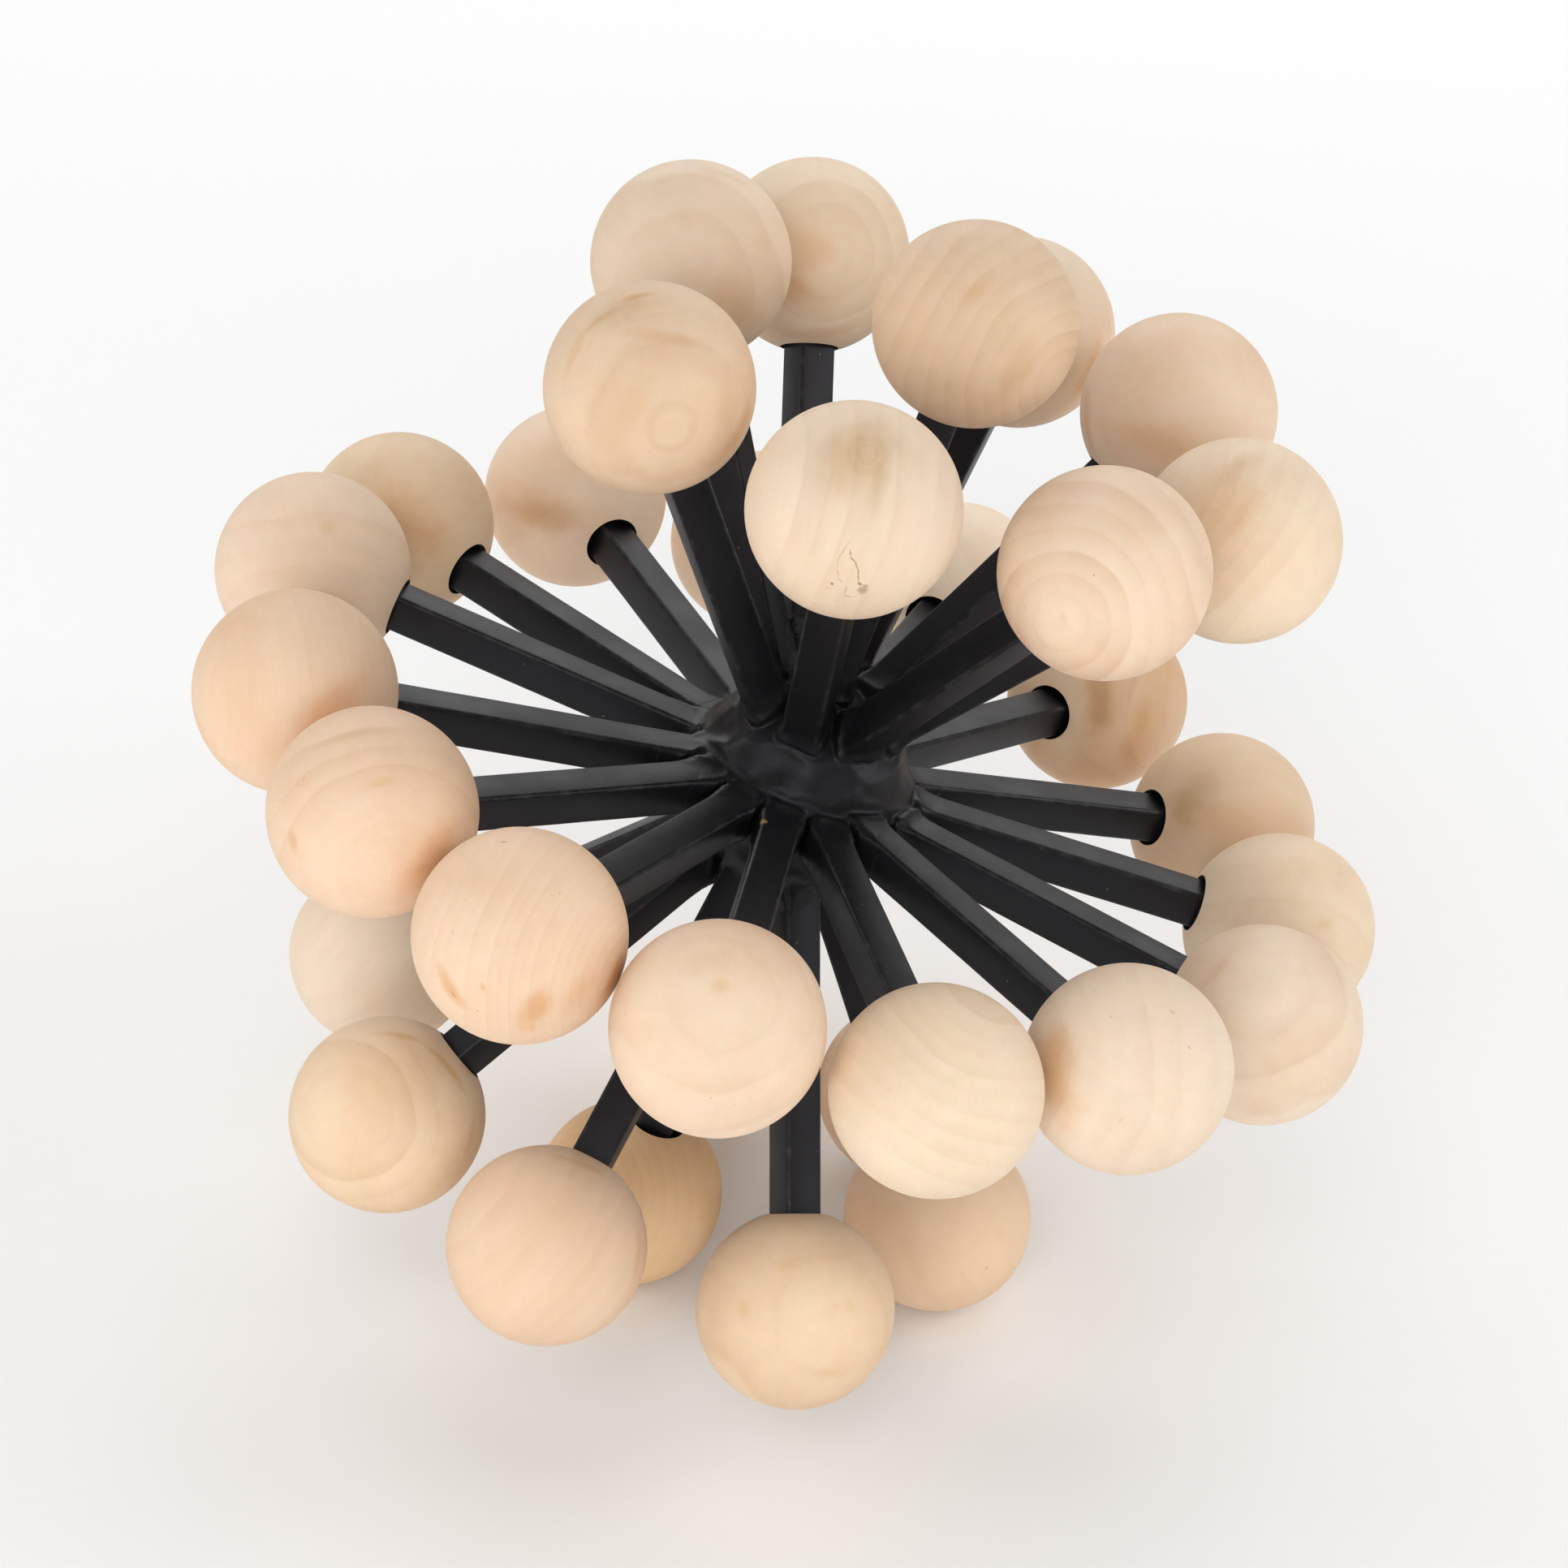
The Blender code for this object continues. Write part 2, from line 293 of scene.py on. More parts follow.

# Marks in single balls, as the camera sees them: kind; place in ball radii right of and above the ball's
# middle; heading of the length in degrees; length and width in mm; strength. The greyish-brown marks are
# painted shade, mostly on the balls' tops and on balls in the shade of others; many stain marks are painted
# shade too, warm brown where a ball faces its neighbours or the hub, and a painted shadow on ball_equator_10
MARKS = {
    "ball_upper_1": [
        ("tan", -0.02, 0.52, 75, 20.0, 10.0, 0.45),
        ("tan", 0.22, 0.50, 75, 22.0, 7.0, 0.40),
        ("smoke", 0.10, 0.56, 75, 26.0, 16.0, 0.50),
        ("smoke", 0.22, 0.26, 75, 18.0, 6.0, 0.50),
        ("smoke", -0.22, 0.50, 78, 24.0, 9.0, 0.40),
        ("ring", 0.12, 0.50, 80, 5.0, 4.2, 0.22),
        ("ring", 0.12, 0.50, 80, 9.5, 8.0, 0.22),
        ("fleck", -0.199, -0.663, 80, 1.2, 0.9, 0.80),
        ("fleck", -0.23, -0.70, 20, 1.6, 0.7, 0.25),
        ("fleck", 0.078, -0.716, 75, 3.6, 2.4, 0.62),
        ("fleck", 0.050, -0.665, 120, 1.5, 0.9, 0.85),
        ("fleck", 0.095, -0.735, 60, 1.5, 1.1, 0.50),
    ],
    "ball_upper_2": [
        ("fleck", -0.10, -0.02, 60, 0.7, 0.4, 0.6),
        ("fleck", 0.93, 0.14, 100, 1.1, 0.6, 0.6),
        ("stain", -0.38, -0.40, 90, 4.0, 2.2, 0.25),
        ("stain", -0.73, -0.30, 90, 2.0, 1.4, 0.30),
    ],
    "ball_upper_3": [
        ("smoke", 0.05, 0.75, 60, 16.0, 7.0, 0.40),
        ("stain", -0.15, 0.45, 80, 24.0, 14.0, 0.40),
        ("stain", 0.10, 0.30, 240, 16.0, 5.0, 0.30),
    ],
    "ball_upper_4": [
        ("stain", -0.10, -0.34, 345, 32.0, 12.0, 0.50),
        ("stain", -0.92, -0.10, 95, 18.0, 5.0, 0.60),
    ],
    "ball_upper_5": [
        ("stain", 0.75, -0.35, 70, 20.0, 8.0, 0.70),
    ],
    "ball_upper_6": [
        ("stain", 0.02, 0.05, 0, 13.0, 11.0, 0.50),
        ("stain", -0.18, -0.32, 320, 20.0, 9.0, 0.60),
        ("stain", 0.05, -0.80, 10, 26.0, 6.0, 0.50),
    ],
    "ball_upper_7": [
        ("stain", 0.42, -0.42, 320, 26.0, 12.0, 0.50),
        ("smoke", 0.30, 0.85, 350, 20.0, 5.0, 0.30),
    ],
    "ball_upper_8": [
        ("smoke", -0.30, 0.72, 25, 24.0, 9.0, 0.50),
        ("stain", -0.50, 0.60, 38, 13.0, 3.2, 0.60),
        ("stain", -0.12, 0.84, 30, 11.0, 3.0, 0.70),
        ("stain", -0.70, 0.30, 60, 14.0, 4.0, 0.40),
        ("stain", 0.20, 0.46, 352, 22.0, 4.0, 0.40),
        ("stain", 0.80, -0.45, 60, 22.0, 7.0, 0.55),
        ("stain", -0.20, -0.20, 60, 24.0, 9.0, 0.25),
        ("ring", 0.18, -0.30, 0, 37.0, 37.0, 0.32),
        ("ring", 0.20, -0.36, 0, 11.5, 11.5, 0.32),
    ],
    "ball_north": [
        ("stain", 0.00, 0.30, 40, 10.0, 5.0, 0.35),
        ("stain", 0.38, -0.45, 70, 20.0, 9.0, 0.25),
        ("smoke", 0.35, -0.55, 250, 16.0, 7.0, 0.35),
    ],
    "ball_equator_15": [
        ("fleck", -0.14, 0.85, 170, 1.9, 0.7, 0.60),
        ("fleck", -0.60, 0.03, 100, 0.8, 0.4, 0.50),
        ("fleck", -0.79, 0.00, 100, 0.6, 0.5, 0.50),
        ("stain", -0.62, -0.48, 115, 13.0, 5.0, 0.85),
        ("fleck", -0.60, -0.53, 120, 2.0, 0.9, 0.35),
        ("stain", -0.33, -0.46, 80, 2.4, 1.6, 0.60),
        ("fleck", -0.38, -0.68, 80, 0.6, 0.6, 0.70),
        ("stain", 0.14, -0.68, 80, 15.0, 8.0, 0.85),
        ("stain", 0.85, -0.40, 70, 12.0, 6.0, 0.90),
        ("stain", 0.55, -0.50, 60, 14.0, 8.0, 0.40),
        ("fleck", 0.29, 0.36, 160, 0.9, 0.3, 0.40),
        ("fleck", 0.36, 0.38, 80, 1.1, 0.3, 0.40),
    ],
    "ball_equator_01": [
        ("tan", 0.03, 0.39, 20, 5.0, 4.0, 0.55),
        ("smoke", -0.10, 0.60, 0, 18.0, 9.0, 0.30),
        ("fleck", -0.06, -0.62, 90, 0.6, 0.3, 0.50),
        ("fleck", -0.83, 0.13, 90, 0.5, 0.4, 0.50),
        ("fleck", 0.15, -0.68, 0, 0.9, 0.5, 0.25),
    ],
    "ball_equator_03": [
        ("fleck", 0.42, 0.53, 150, 1.6, 0.8, 0.35),
        ("fleck", 0.57, 0.20, 120, 1.1, 0.6, 0.40),
        ("fleck", -0.15, 0.48, 100, 0.9, 0.6, 0.35),
        ("stain", -0.07, -0.48, 60, 3.0, 0.9, 0.40),
        ("stain", -0.66, 0.00, 90, 28.0, 13.0, 0.80),
    ],
    "ball_equator_04": [
        ("stain", -0.45, 0.52, 50, 12.0, 5.0, 0.35),
    ],
    "ball_equator_05": [
        ("tan", 0.47, 0.05, 20, 7.0, 5.4, 0.50),
    ],
    "ball_equator_06": [
        ("smoke", -0.38, 0.25, 60, 20.0, 13.0, 0.85),
        ("stain", 0.00, 0.00, 0, 24.0, 12.0, 0.35),
    ],
    "ball_equator_07": [
        ("smoke", 0.05, 0.05, 90, 24.0, 8.0, 0.80),
        ("stain", 0.05, -0.10, 90, 24.0, 12.0, 0.50),
        ("stain", 0.45, -0.30, 80, 24.0, 8.0, 0.45),
        ("fleck", -0.72, -0.40, 60, 3.0, 1.2, 0.30),
    ],
    # A neighbour's painted shadow, as a broad brown smear across the ball
    "ball_equator_10": [
        ("stain", -0.20, -0.22, 350, 34.0, 12.0, 0.50),
        ("smoke", -0.28, -0.24, 350, 28.0, 8.0, 0.40),
    ],
    "ball_equator_11": [
        ("stain", 0.14, 0.02, 300, 28.0, 16.0, 0.60),
    ],
    "ball_equator_12": [
        ("tan", 0.15, 0.42, 80, 5.0, 4.4, 0.60),
    ],
    "ball_equator_13": [
        ("stain", 0.32, -0.20, 40, 32.0, 14.0, 0.65),
        ("stain", 0.45, 0.90, 340, 20.0, 4.0, 0.45),
    ],
    "ball_equator_14": [
        ("ring", -0.63, 0.31, 30, 4.4, 3.4, 0.30),
        ("stain", -0.63, 0.31, 30, 2.6, 2.0, 0.55),
        ("stain", -0.73, -0.28, 80, 6.5, 3.2, 0.60),
        ("tan", 0.08, 0.28, 15, 8.0, 2.6, 0.60),
        ("smoke", -0.20, 0.72, 10, 26.0, 3.5, 0.40),
        ("stain", 0.55, -0.45, 55, 24.0, 10.0, 0.65),
    ],
    "ball_lower_1": [
        ("stain", 0.35, 0.80, 340, 18.0, 4.0, 0.50),
        ("stain", 0.90, -0.10, 80, 16.0, 4.0, 0.40),
    ],
    "ball_lower_2": [
        ("tan", 0.54, 0.05, 90, 5.5, 4.6, 0.50),
        ("tan", -0.06, 0.46, 30, 5.5, 4.0, 0.50),
        ("tan", -0.50, 0.00, 90, 5.5, 4.2, 0.50),
        ("tan", 0.35, -0.62, 330, 7.0, 3.6, 0.40),
    ],
    "ball_lower_3": [
        ("fleck", 0.52, -0.53, 90, 1.6, 1.2, 0.30),
    ],
    "ball_lower_8": [
        ("stain", 0.10, 0.80, 345, 14.0, 3.0, 0.60),
        ("stain", 0.60, 0.50, 315, 18.0, 3.5, 0.70),
        ("stain", 0.85, -0.20, 260, 16.0, 4.0, 0.50),
    ],
}

# Fine open cracks: width in mm, strength, and places in ball radii right of and above the ball's middle
CRACKS = {
    "ball_upper_1": [
        (0.28, 0.45, [
            (-0.062, -0.309), (-0.138, -0.436), (-0.152, -0.521), (-0.142, -0.600), (-0.114, -0.653),
        ]),
        (0.42, 0.70, [
            (-0.034, -0.361), (-0.029, -0.422), (0.013, -0.474), (0.037, -0.550), (0.041, -0.644),
        ]),
        (0.36, 0.50, [
            (-0.067, -0.678), (-0.086, -0.762), (-0.050, -0.782), (-0.010, -0.781), (0.018, -0.777),
        ]),
    ],
}


def opaque(colour):
    """A colour with full cover."""
    return (*colour, 1.0)


def sphere_through(points):
    """Centre and radius of the sphere that best fits the points."""
    system = np.hstack([2 * points, np.ones((len(points), 1))])
    answer = np.linalg.lstsq(system, (points ** 2).sum(axis=1), rcond=None)[0]
    centre = answer[:3]
    return centre, math.sqrt(answer[3] + centre @ centre)


def ball_centre(node):
    """Centre of a CAD ball, fitted to those of its corners that lie on the round."""
    corners = np.array([vertex.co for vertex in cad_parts[node].data.vertices])
    centre = (corners.min(axis=0) + corners.max(axis=0)) / 2
    for _ in range(FIT_ROUNDS):
        reach = np.linalg.norm(corners - centre, axis=1)
        centre, _radius = sphere_through(corners[reach > FIT_SHARE * reach.max()])
    return Vector(centre)


class Layout:
    """Where the hub, the balls and the arms are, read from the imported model."""

    def __init__(self):
        names = sorted(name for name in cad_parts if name.startswith("ball_"))
        self.centres = {name: ball_centre(name) for name in names}
        hub, self.reach = sphere_through(np.array([self.centres[name] for name in names]))
        self.hub = Vector(hub)
        self.pole = (self.hub - self.centres["ball_south"]).normalized()
        self.polar_east = self.pole.cross(self.centres["ball_north"] - self.hub).normalized()
        self.arms = {name: self.arm(name) for name in names}

    def arm(self, name):
        """Rotation whose Z runs out along a ball's arm, X to the east and Y towards the pole."""
        out = (self.centres[name] - self.hub).normalized()
        east = self.pole.cross(out)
        east = self.polar_east if east.length < POLAR_LEAN else east.normalized()
        return Matrix((east, out.cross(east), out)).transposed()


def surface_frame(axes, right, up, heading):
    """Frame on a ball's surface where the camera sees it: X along the heading, Z out of the ball."""
    front = math.sqrt(max(0.0, 1.0 - right * right - up * up))
    outward = axes @ Vector((right, up, front))
    heading = math.radians(heading)
    along = axes @ Vector((math.cos(heading), math.sin(heading), 0.0))
    along = (along - outward * along.dot(outward)).normalized()
    turn = Matrix((along, outward.cross(along), outward)).transposed()
    return Matrix.Translation(outward * BALL_RADIUS) @ turn.to_4x4()


class Shader:
    """A node material, built one step at a time."""

    def __init__(self, name):
        self.material = bpy.data.materials.new(name)
        self.material.use_nodes = True
        self.tree = self.material.node_tree
        self.surface = self.tree.nodes["Principled BSDF"]
        self.place = self.node("TexCoord").outputs["Object"]

    def node(self, kind, inputs=(), **settings):
        """A node of a kind, with inputs as {socket: value or link} and its own settings."""
        made = self.tree.nodes.new("ShaderNode" + kind)
        for key, value in settings.items():
            setattr(made, key, value)
        for socket, value in dict(inputs).items():
            self.feed(made.inputs[socket], value)
        return made

    def feed(self, socket, value):
        """Link a socket to another, or set its value."""
        if isinstance(value, bpy.types.NodeSocket):
            self.tree.links.new(value, socket)
        else:
            socket.default_value = value

    def attribute(self, name, output):
        """A value that the mesh holds at its points."""
        return self.node("Attribute", attribute_name=name).outputs[output]

    def math(self, operation, *values):
        """Result of a Math node."""
        return self.node("Math", enumerate(values), operation=operation).outputs[0]

    def vector(self, operation, *values, output="Vector"):
        """Result of a Vector Math node."""
        return self.node("VectorMath", enumerate(values), operation=operation).outputs[output]

    def noise(self, where, scale, detail, roughness, colour=False):
        """Noise at a place, as a number or as a colour."""
        inputs = {"Vector": where, "Scale": scale, "Detail": detail, "Roughness": roughness}
        return self.node("TexNoise", inputs).outputs["Color" if colour else "Fac"]

    def ramp(self, value, low, high, start=0.0, end=1.0):
        """A value taken smoothly from the range low to high into the range start to end."""
        inputs = {"Value": value, "From Min": low, "From Max": high, "To Min": start, "To Max": end}
        return self.node("MapRange", inputs, interpolation_type="SMOOTHSTEP").outputs[0]

    def hump(self, value, rise, fall, top=1.0):
        """A value that comes over one range and goes again over another."""
        return self.math("MULTIPLY", self.ramp(value, *rise), self.ramp(value, *fall, top, 0.0))

    def mix(self, factor, first, second):
        """A colour between two."""
        made = self.node("Mix", data_type="RGBA")
        self.feed(made.inputs["Factor"], factor)
        self.feed(made.inputs["A"], first)
        self.feed(made.inputs["B"], second)
        return made.outputs["Result"]

    def tinted(self, colour, tint, share=1.0):
        """A colour taken down by a tint, or by a share of it."""
        made = self.node("Mix", data_type="RGBA", blend_type="MULTIPLY")
        made.inputs["Factor"].default_value = share
        self.feed(made.inputs["A"], colour)
        self.feed(made.inputs["B"], tint)
        return made.outputs["Result"]

    def finish(self, colour, roughness, gloss):
        """Give the surface its colour, roughness and gloss."""
        self.feed(self.surface.inputs["Base Color"], colour)
        self.feed(self.surface.inputs["Roughness"], roughness)
        self.surface.inputs["Specular IOR Level"].default_value = gloss
        return self.material

    def bump(self, height, distance):
        """Tilt the surface by a height, which spans the distance."""
        made = self.node("Bump", {"Height": height, "Distance": distance, "Strength": 1.0})
        self.feed(self.surface.inputs["Normal"], made.outputs[0])


class Wood(Shader):
    """Pale turned wood: growth rings where each ball's own timber says, and the marks that are put on it,
    painted shade among them.
    """

    def __init__(self, name):
        super().__init__(name)
        self.timber = self.attribute("timber", "Vector")
        self.ragged = self.math("SUBTRACT", self.noise(self.place, *RAGGED_EDGE), 0.5)
        self.soft = self.math("SUBTRACT", self.noise(self.place, *SOFT_EDGE), 0.5)
        self.fibre = self.timber_noise(FIBRE)
        grain = self.attribute("grain", "Vector")
        ring_mm, ring_strength, stain = self.node("SeparateXYZ", {0: grain}).outputs
        rings = self.growth_rings(ring_mm)
        dark = self.math("MULTIPLY", rings, ring_strength)
        fibre = self.math("SUBTRACT", self.fibre, FIBRE_MEAN)
        dark = self.math("MULTIPLY_ADD", fibre, FIBRE_SHARE, dark)
        streak = self.math("SUBTRACT", self.timber_noise(STREAK), STREAK_MEAN)
        dark = self.math("MULTIPLY_ADD", streak, STREAK_SHARE, dark)
        blotch = self.ramp(self.timber_noise(BLOTCH), *BLOTCH_RANGE)
        stain = self.math("MULTIPLY", blotch, stain)
        # The stain layer holds real stains and warm painted shade; the greyish-brown layer is painted shade
        self.amounts = {"dark": dark, "stain": stain, "smoke": 0.0, "tan": 0.0, "fleck": 0.0}

    def timber_noise(self, kind, colour=False):
        """Noise of a kind in the timber, drawn out along its pith."""
        along, *rest = kind
        return self.noise(self.vector("MULTIPLY", self.timber, (1.0, 1.0, along)), *rest, colour)

    def growth_rings(self, ring_mm):
        """How much the rings darken the wood; the late wood in them is kept for the relief."""
        across = self.vector("MULTIPLY", self.timber, (1.0, 1.0, 0.0))
        out = self.vector("LENGTH", across, output="Value")
        phase = self.math("DIVIDE", out, ring_mm)
        phase = self.math("MULTIPLY_ADD", self.timber_noise(SLOW_WAVE), SLOW_WAVE_RINGS, phase)
        phase = self.math("MULTIPLY_ADD", self.timber_noise(QUICK_WAVE), QUICK_WAVE_RINGS, phase)
        within = self.math("FRACT", phase)
        tone, line_strength, next_tone = self.ring_tones(self.math("FLOOR", phase))
        change = self.math("SUBTRACT", next_tone, tone)
        band = self.math("MULTIPLY_ADD", change, self.ramp(within, *BAND_BLEND), tone)
        self.late = self.hump(within, LATE_RISE, LATE_FALL)
        line = self.hump(within, LINE_RISE, LINE_FALL)
        line_share = self.math("MULTIPLY_ADD", line_strength, LINE_VARIETY, FAINTEST_LINE)
        rings = self.math("MULTIPLY", self.late, LATE_SHARE)
        rings = self.math("MULTIPLY_ADD", line, line_share, rings)
        rings = self.math("MULTIPLY_ADD", band, BAND_SHARE, rings)
        rings = self.math("MULTIPLY", rings, self.ramp(self.timber_noise(CLOUD), *RING_CLOUDS))
        return self.math("MULTIPLY", rings, self.ramp(self.past_calm(out), *CALM_FADE))

    def ring_tones(self, number):
        """A ring's tone, how strong its line is, and the next ring's tone."""
        tone = self.node("TexWhiteNoise", {"W": number}, noise_dimensions="1D").outputs
        following = self.math("ADD", number, 1.0)
        next_tone = self.node("TexWhiteNoise", {"W": following}, noise_dimensions="1D").outputs["Value"]
        line_strength = self.node("SeparateColor", {"Color": tone["Color"]}).outputs[1]
        return tone["Value"], line_strength, next_tone

    def past_calm(self, out):
        """How far a place lies past the calm wood round the pith."""
        calm = self.attribute("calm_mm", "Fac")
        past = self.math("SUBTRACT", out, calm)
        return self.math("DIVIDE", past, self.math("MULTIPLY_ADD", calm, *CALM_SPREAD))

    def blot(self, there, length, width):
        """Distance from the middle of a mark, which is 1 at its edge; length and width are in mm."""
        mapped = self.node("Mapping", {"Vector": self.place}, vector_type="TEXTURE")
        mapped.inputs["Location"].default_value = there.translation
        mapped.inputs["Rotation"].default_value = there.to_euler()
        mapped.inputs["Scale"].default_value = (length / 2 * MM, width / 2 * MM, BALL_RADIUS / 2)
        return self.vector("LENGTH", mapped.outputs[0], output="Value")

    def add_mark(self, there, kind, length, width, strength):
        """Put a mark on the wood."""
        spot = self.blot(there, length, width)
        if kind == "ring":
            spot = self.math("MULTIPLY_ADD", self.soft, HOOP_MOVE, spot)
            hoop = self.hump(spot, HOOP_RISE, HOOP_FALL, strength)
            self.amounts["dark"] = self.math("ADD", self.amounts["dark"], hoop)
            return
        move, near, far = MARK_EDGES[kind]
        edge = self.ragged if kind in ("fleck", "crack") else self.soft
        spot = self.math("MULTIPLY_ADD", edge, move, spot)
        amount = self.ramp(spot, near, far, strength, 0.0)
        layer = "fleck" if kind == "crack" else kind
        joined = "ADD" if kind == "stain" else "MAXIMUM"
        self.amounts[layer] = self.math(joined, self.amounts[layer], amount)

    def add_crack(self, axes, width, strength, places):
        """Put a fine crack on the wood, as short marks from place to place."""
        for start, end in zip(places, places[1:]):
            middle = [(first + second) / 2 for first, second in zip(start, end)]
            run = [second - first for first, second in zip(start, end)]
            heading = math.degrees(math.atan2(run[1], run[0]))
            length = math.hypot(*run) * BALL_RADIUS / MM * CRACK_OVERLAP
            self.add_mark(surface_frame(axes, *middle, heading), "crack", length, width, strength)

    def coloured(self):
        """The finished wood, with its marks, painted shade among them, laid over the ball's own tone."""
        colour = self.tinted(self.attribute("tint", "Color"), self.timber_noise(HUE, True), HUE_SHARE)
        for layer, tint in LAYER_TINTS.items():
            amount = self.amounts[layer]
            if layer in ("dark", "stain"):
                amount = self.node("Clamp", {0: amount}).outputs[0]
            colour = self.mix(amount, colour, self.tinted(colour, opaque(tint)))
        colour = self.mix(self.amounts["fleck"], colour, opaque(FLECK_COLOUR))
        self.bump(self.math("MULTIPLY_ADD", self.late, LATE_RELIEF, self.fibre), WOOD_RELIEF)
        return self.finish(colour, self.ramp(self.fibre, *FIBRE_RANGE, *WOOD_ROUGHNESS), WOOD_GLOSS)


def wood_material(name, axes, marks=(), cracks=()):
    """Turned wood, with marks and cracks where the camera's directions put them."""
    wood = Wood(name)
    for kind, right, up, heading, *looks in marks:
        wood.add_mark(surface_frame(axes, right, up, heading), kind, *looks)
    for crack in cracks:
        wood.add_crack(axes, *crack)
    return wood.coloured()


def shaded_socket_material():
    """Wood inside a socket as painted shade: near black, with patches of dark brown."""
    shader = Shader("shaded_socket_wood")
    patch = shader.ramp(shader.noise(shader.place, *SOCKET_PATCH), *SOCKET_PATCH_RANGE)
    colour = shader.mix(patch, opaque(SOCKET_SHADE_BLACK), opaque(SOCKET_SHADED_WOOD))
    return shader.finish(colour, SOCKET_ROUGHNESS, SOCKET_GLOSS)


def dust_specks(shader):
    """Where small specks of dust lie."""
    cells = shader.node("TexVoronoi", {"Vector": shader.place, "Scale": DUST_PER_METRE, "Randomness": 1.0})
    chance = shader.node("SeparateColor", {"Color": cells.outputs["Color"]}).outputs[0]
    near = shader.ramp(cells.outputs["Distance"], *DUST_SIZE, 1.0, 0.0)
    speck = shader.math("MULTIPLY", near, shader.ramp(chance, *DUST_CHANCE))
    return shader.math("MULTIPLY", speck, DUST_SHARE)


def chipped_spot(shader, chip_place):
    """Where the paint is chipped off."""
    away = shader.vector("DISTANCE", shader.place, chip_place, output="Value")
    away = shader.math("MULTIPLY_ADD", shader.noise(shader.place, *CHIP_EDGE), CHIP_RADIUS, away)
    return shader.ramp(away, CHIP_RADIUS, CHIP_RADIUS * CHIP_FADE, 1.0, 0.0)


def paint_material(chip_place):
    """Matt black paint: fine peel, wear and painted highlight along the bars' edges, specks of dust and a
    chip.
    """
    shader = Shader("black_paint")
    cloud = shader.noise(shader.place, *PAINT_CLOUD)
    # Light grey broken lines along the bars' rounded corners: wear, and painted highlight along the edges
    edge_wear_and_highlight = shader.ramp(shader.noise(shader.place, *EDGE_WEAR_AND_HIGHLIGHT_NOISE), *EDGE_WEAR_AND_HIGHLIGHT_RANGE)
    edge_wear_and_highlight = shader.math("MULTIPLY", shader.attribute("edge", "Fac"), edge_wear_and_highlight)
    colour = shader.mix(cloud, opaque(DARK_PAINT), opaque(LIGHT_PAINT))
    colour = shader.mix(shader.math("MULTIPLY", edge_wear_and_highlight, EDGE_WEAR_AND_HIGHLIGHT_SHARE), colour, opaque(EDGE_WEAR_AND_HIGHLIGHT))
    colour = shader.mix(dust_specks(shader), colour, opaque(DUST_COLOUR))
    colour = shader.mix(chipped_spot(shader, chip_place), colour, opaque(CHIP_COLOUR))
    shader.surface.inputs["Specular Tint"].default_value = opaque(PAINT_GLOSS_TINT)
    shader.bump(shader.noise(shader.place, *PAINT_PEEL), PAINT_RELIEF)
    return shader.finish(colour, shader.ramp(cloud, *PAINT_CLOUD_RANGE, *PAINT_ROUGHNESS), PAINT_GLOSS)


def floor_material():
    """Plain pale floor."""
    return Shader("pale_floor").finish(opaque(FLOOR_COLOUR), FLOOR_ROUGHNESS, FLOOR_GLOSS)


def camera_axes():
    """The camera's right, up and backward directions."""
    azimuth = math.radians(CAMERA_AZIMUTH)
    elevation = math.radians(CAMERA_ELEVATION)
    forward = Vector((
        -math.sin(azimuth) * math.cos(elevation),
        math.cos(azimuth) * math.cos(elevation),
        -math.sin(elevation),
    ))
    right = forward.cross(Vector((0.0, 0.0, 1.0))).normalized()
    level = Matrix((right, right.cross(forward), -forward)).transposed()
    return level @ Matrix.Rotation(math.radians(-CAMERA_ROLL), 3, "Z")


def camera_place(axes):
    """Where the camera stands."""
    return CAMERA_AIM + axes.col[2] * CAMERA_DISTANCE


def sight_axes(axes, place):
    """The camera's directions, turned to its line of sight to a place."""
    back = (camera_place(axes) - place).normalized()
    return axes.col[2].rotation_difference(back).to_matrix() @ axes


def add_camera(axes):
    """The photograph's view."""
    data = bpy.data.cameras.new("camera")
    data.lens = CAMERA_LENS_MM
    data.sensor_width = CAMERA_SENSOR_MM
    camera = bpy.data.objects.new("camera", data)
    bpy.context.scene.collection.objects.link(camera)
    camera.matrix_world = Matrix.Translation(camera_place(axes)) @ axes.to_4x4()
    bpy.context.scene.camera = camera


def add_piece(name, mesh, place=(0.0, 0.0, 0.0)):
    """A visible piece of the sphere, riding on its body."""
    piece = bpy.data.objects.new(name, mesh)
    piece.location = place
    bpy.context.scene.collection.objects.link(piece)
    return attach(piece, "root")


def set_points(mesh, name, kind, values):
    """Store a value at each point of a mesh."""
    field = {"FLOAT": "value", "FLOAT_VECTOR": "vector", "FLOAT_COLOR": "color"}[kind]
    layer = mesh.attributes.new(name, kind, "POINT")
    layer.data.foreach_set(field, np.ascontiguousarray(values, dtype=np.float32).ravel())


def tube_faces(rings, sides, first):
    """Quads that join rings of points, each ring to the next."""
    faces = []
    for ring in range(rings - 1):
        for side in range(sides):
            near = first + ring * sides
            following = (side + 1) % sides
            faces.append((near + side, near + following, near + sides + following, near + sides + side))
    return faces


def ball_profile():
    """Radius and height down a ball: over the round, round the socket's lip, down its wall to its floor."""
    mouth = math.pi - math.asin((SOCKET_RADIUS + SOCKET_LIP) / BALL_RADIUS)
    round_part = []
    for ring in range(1, BALL_RINGS + 1):
        angle = mouth * ring / BALL_RINGS
        round_part.append((BALL_RADIUS * math.sin(angle), BALL_RADIUS * math.cos(angle)))
    lip_height = round_part[-1][1] + SOCKET_LIP
    floor_height = SOCKET_DEPTH - BALL_RADIUS
    wall = []
    for ring in range(SOCKET_RINGS + 1):
        share = ring / SOCKET_RINGS
        wall.append((SOCKET_RADIUS, lip_height + (floor_height - lip_height) * share))
    return round_part, wall


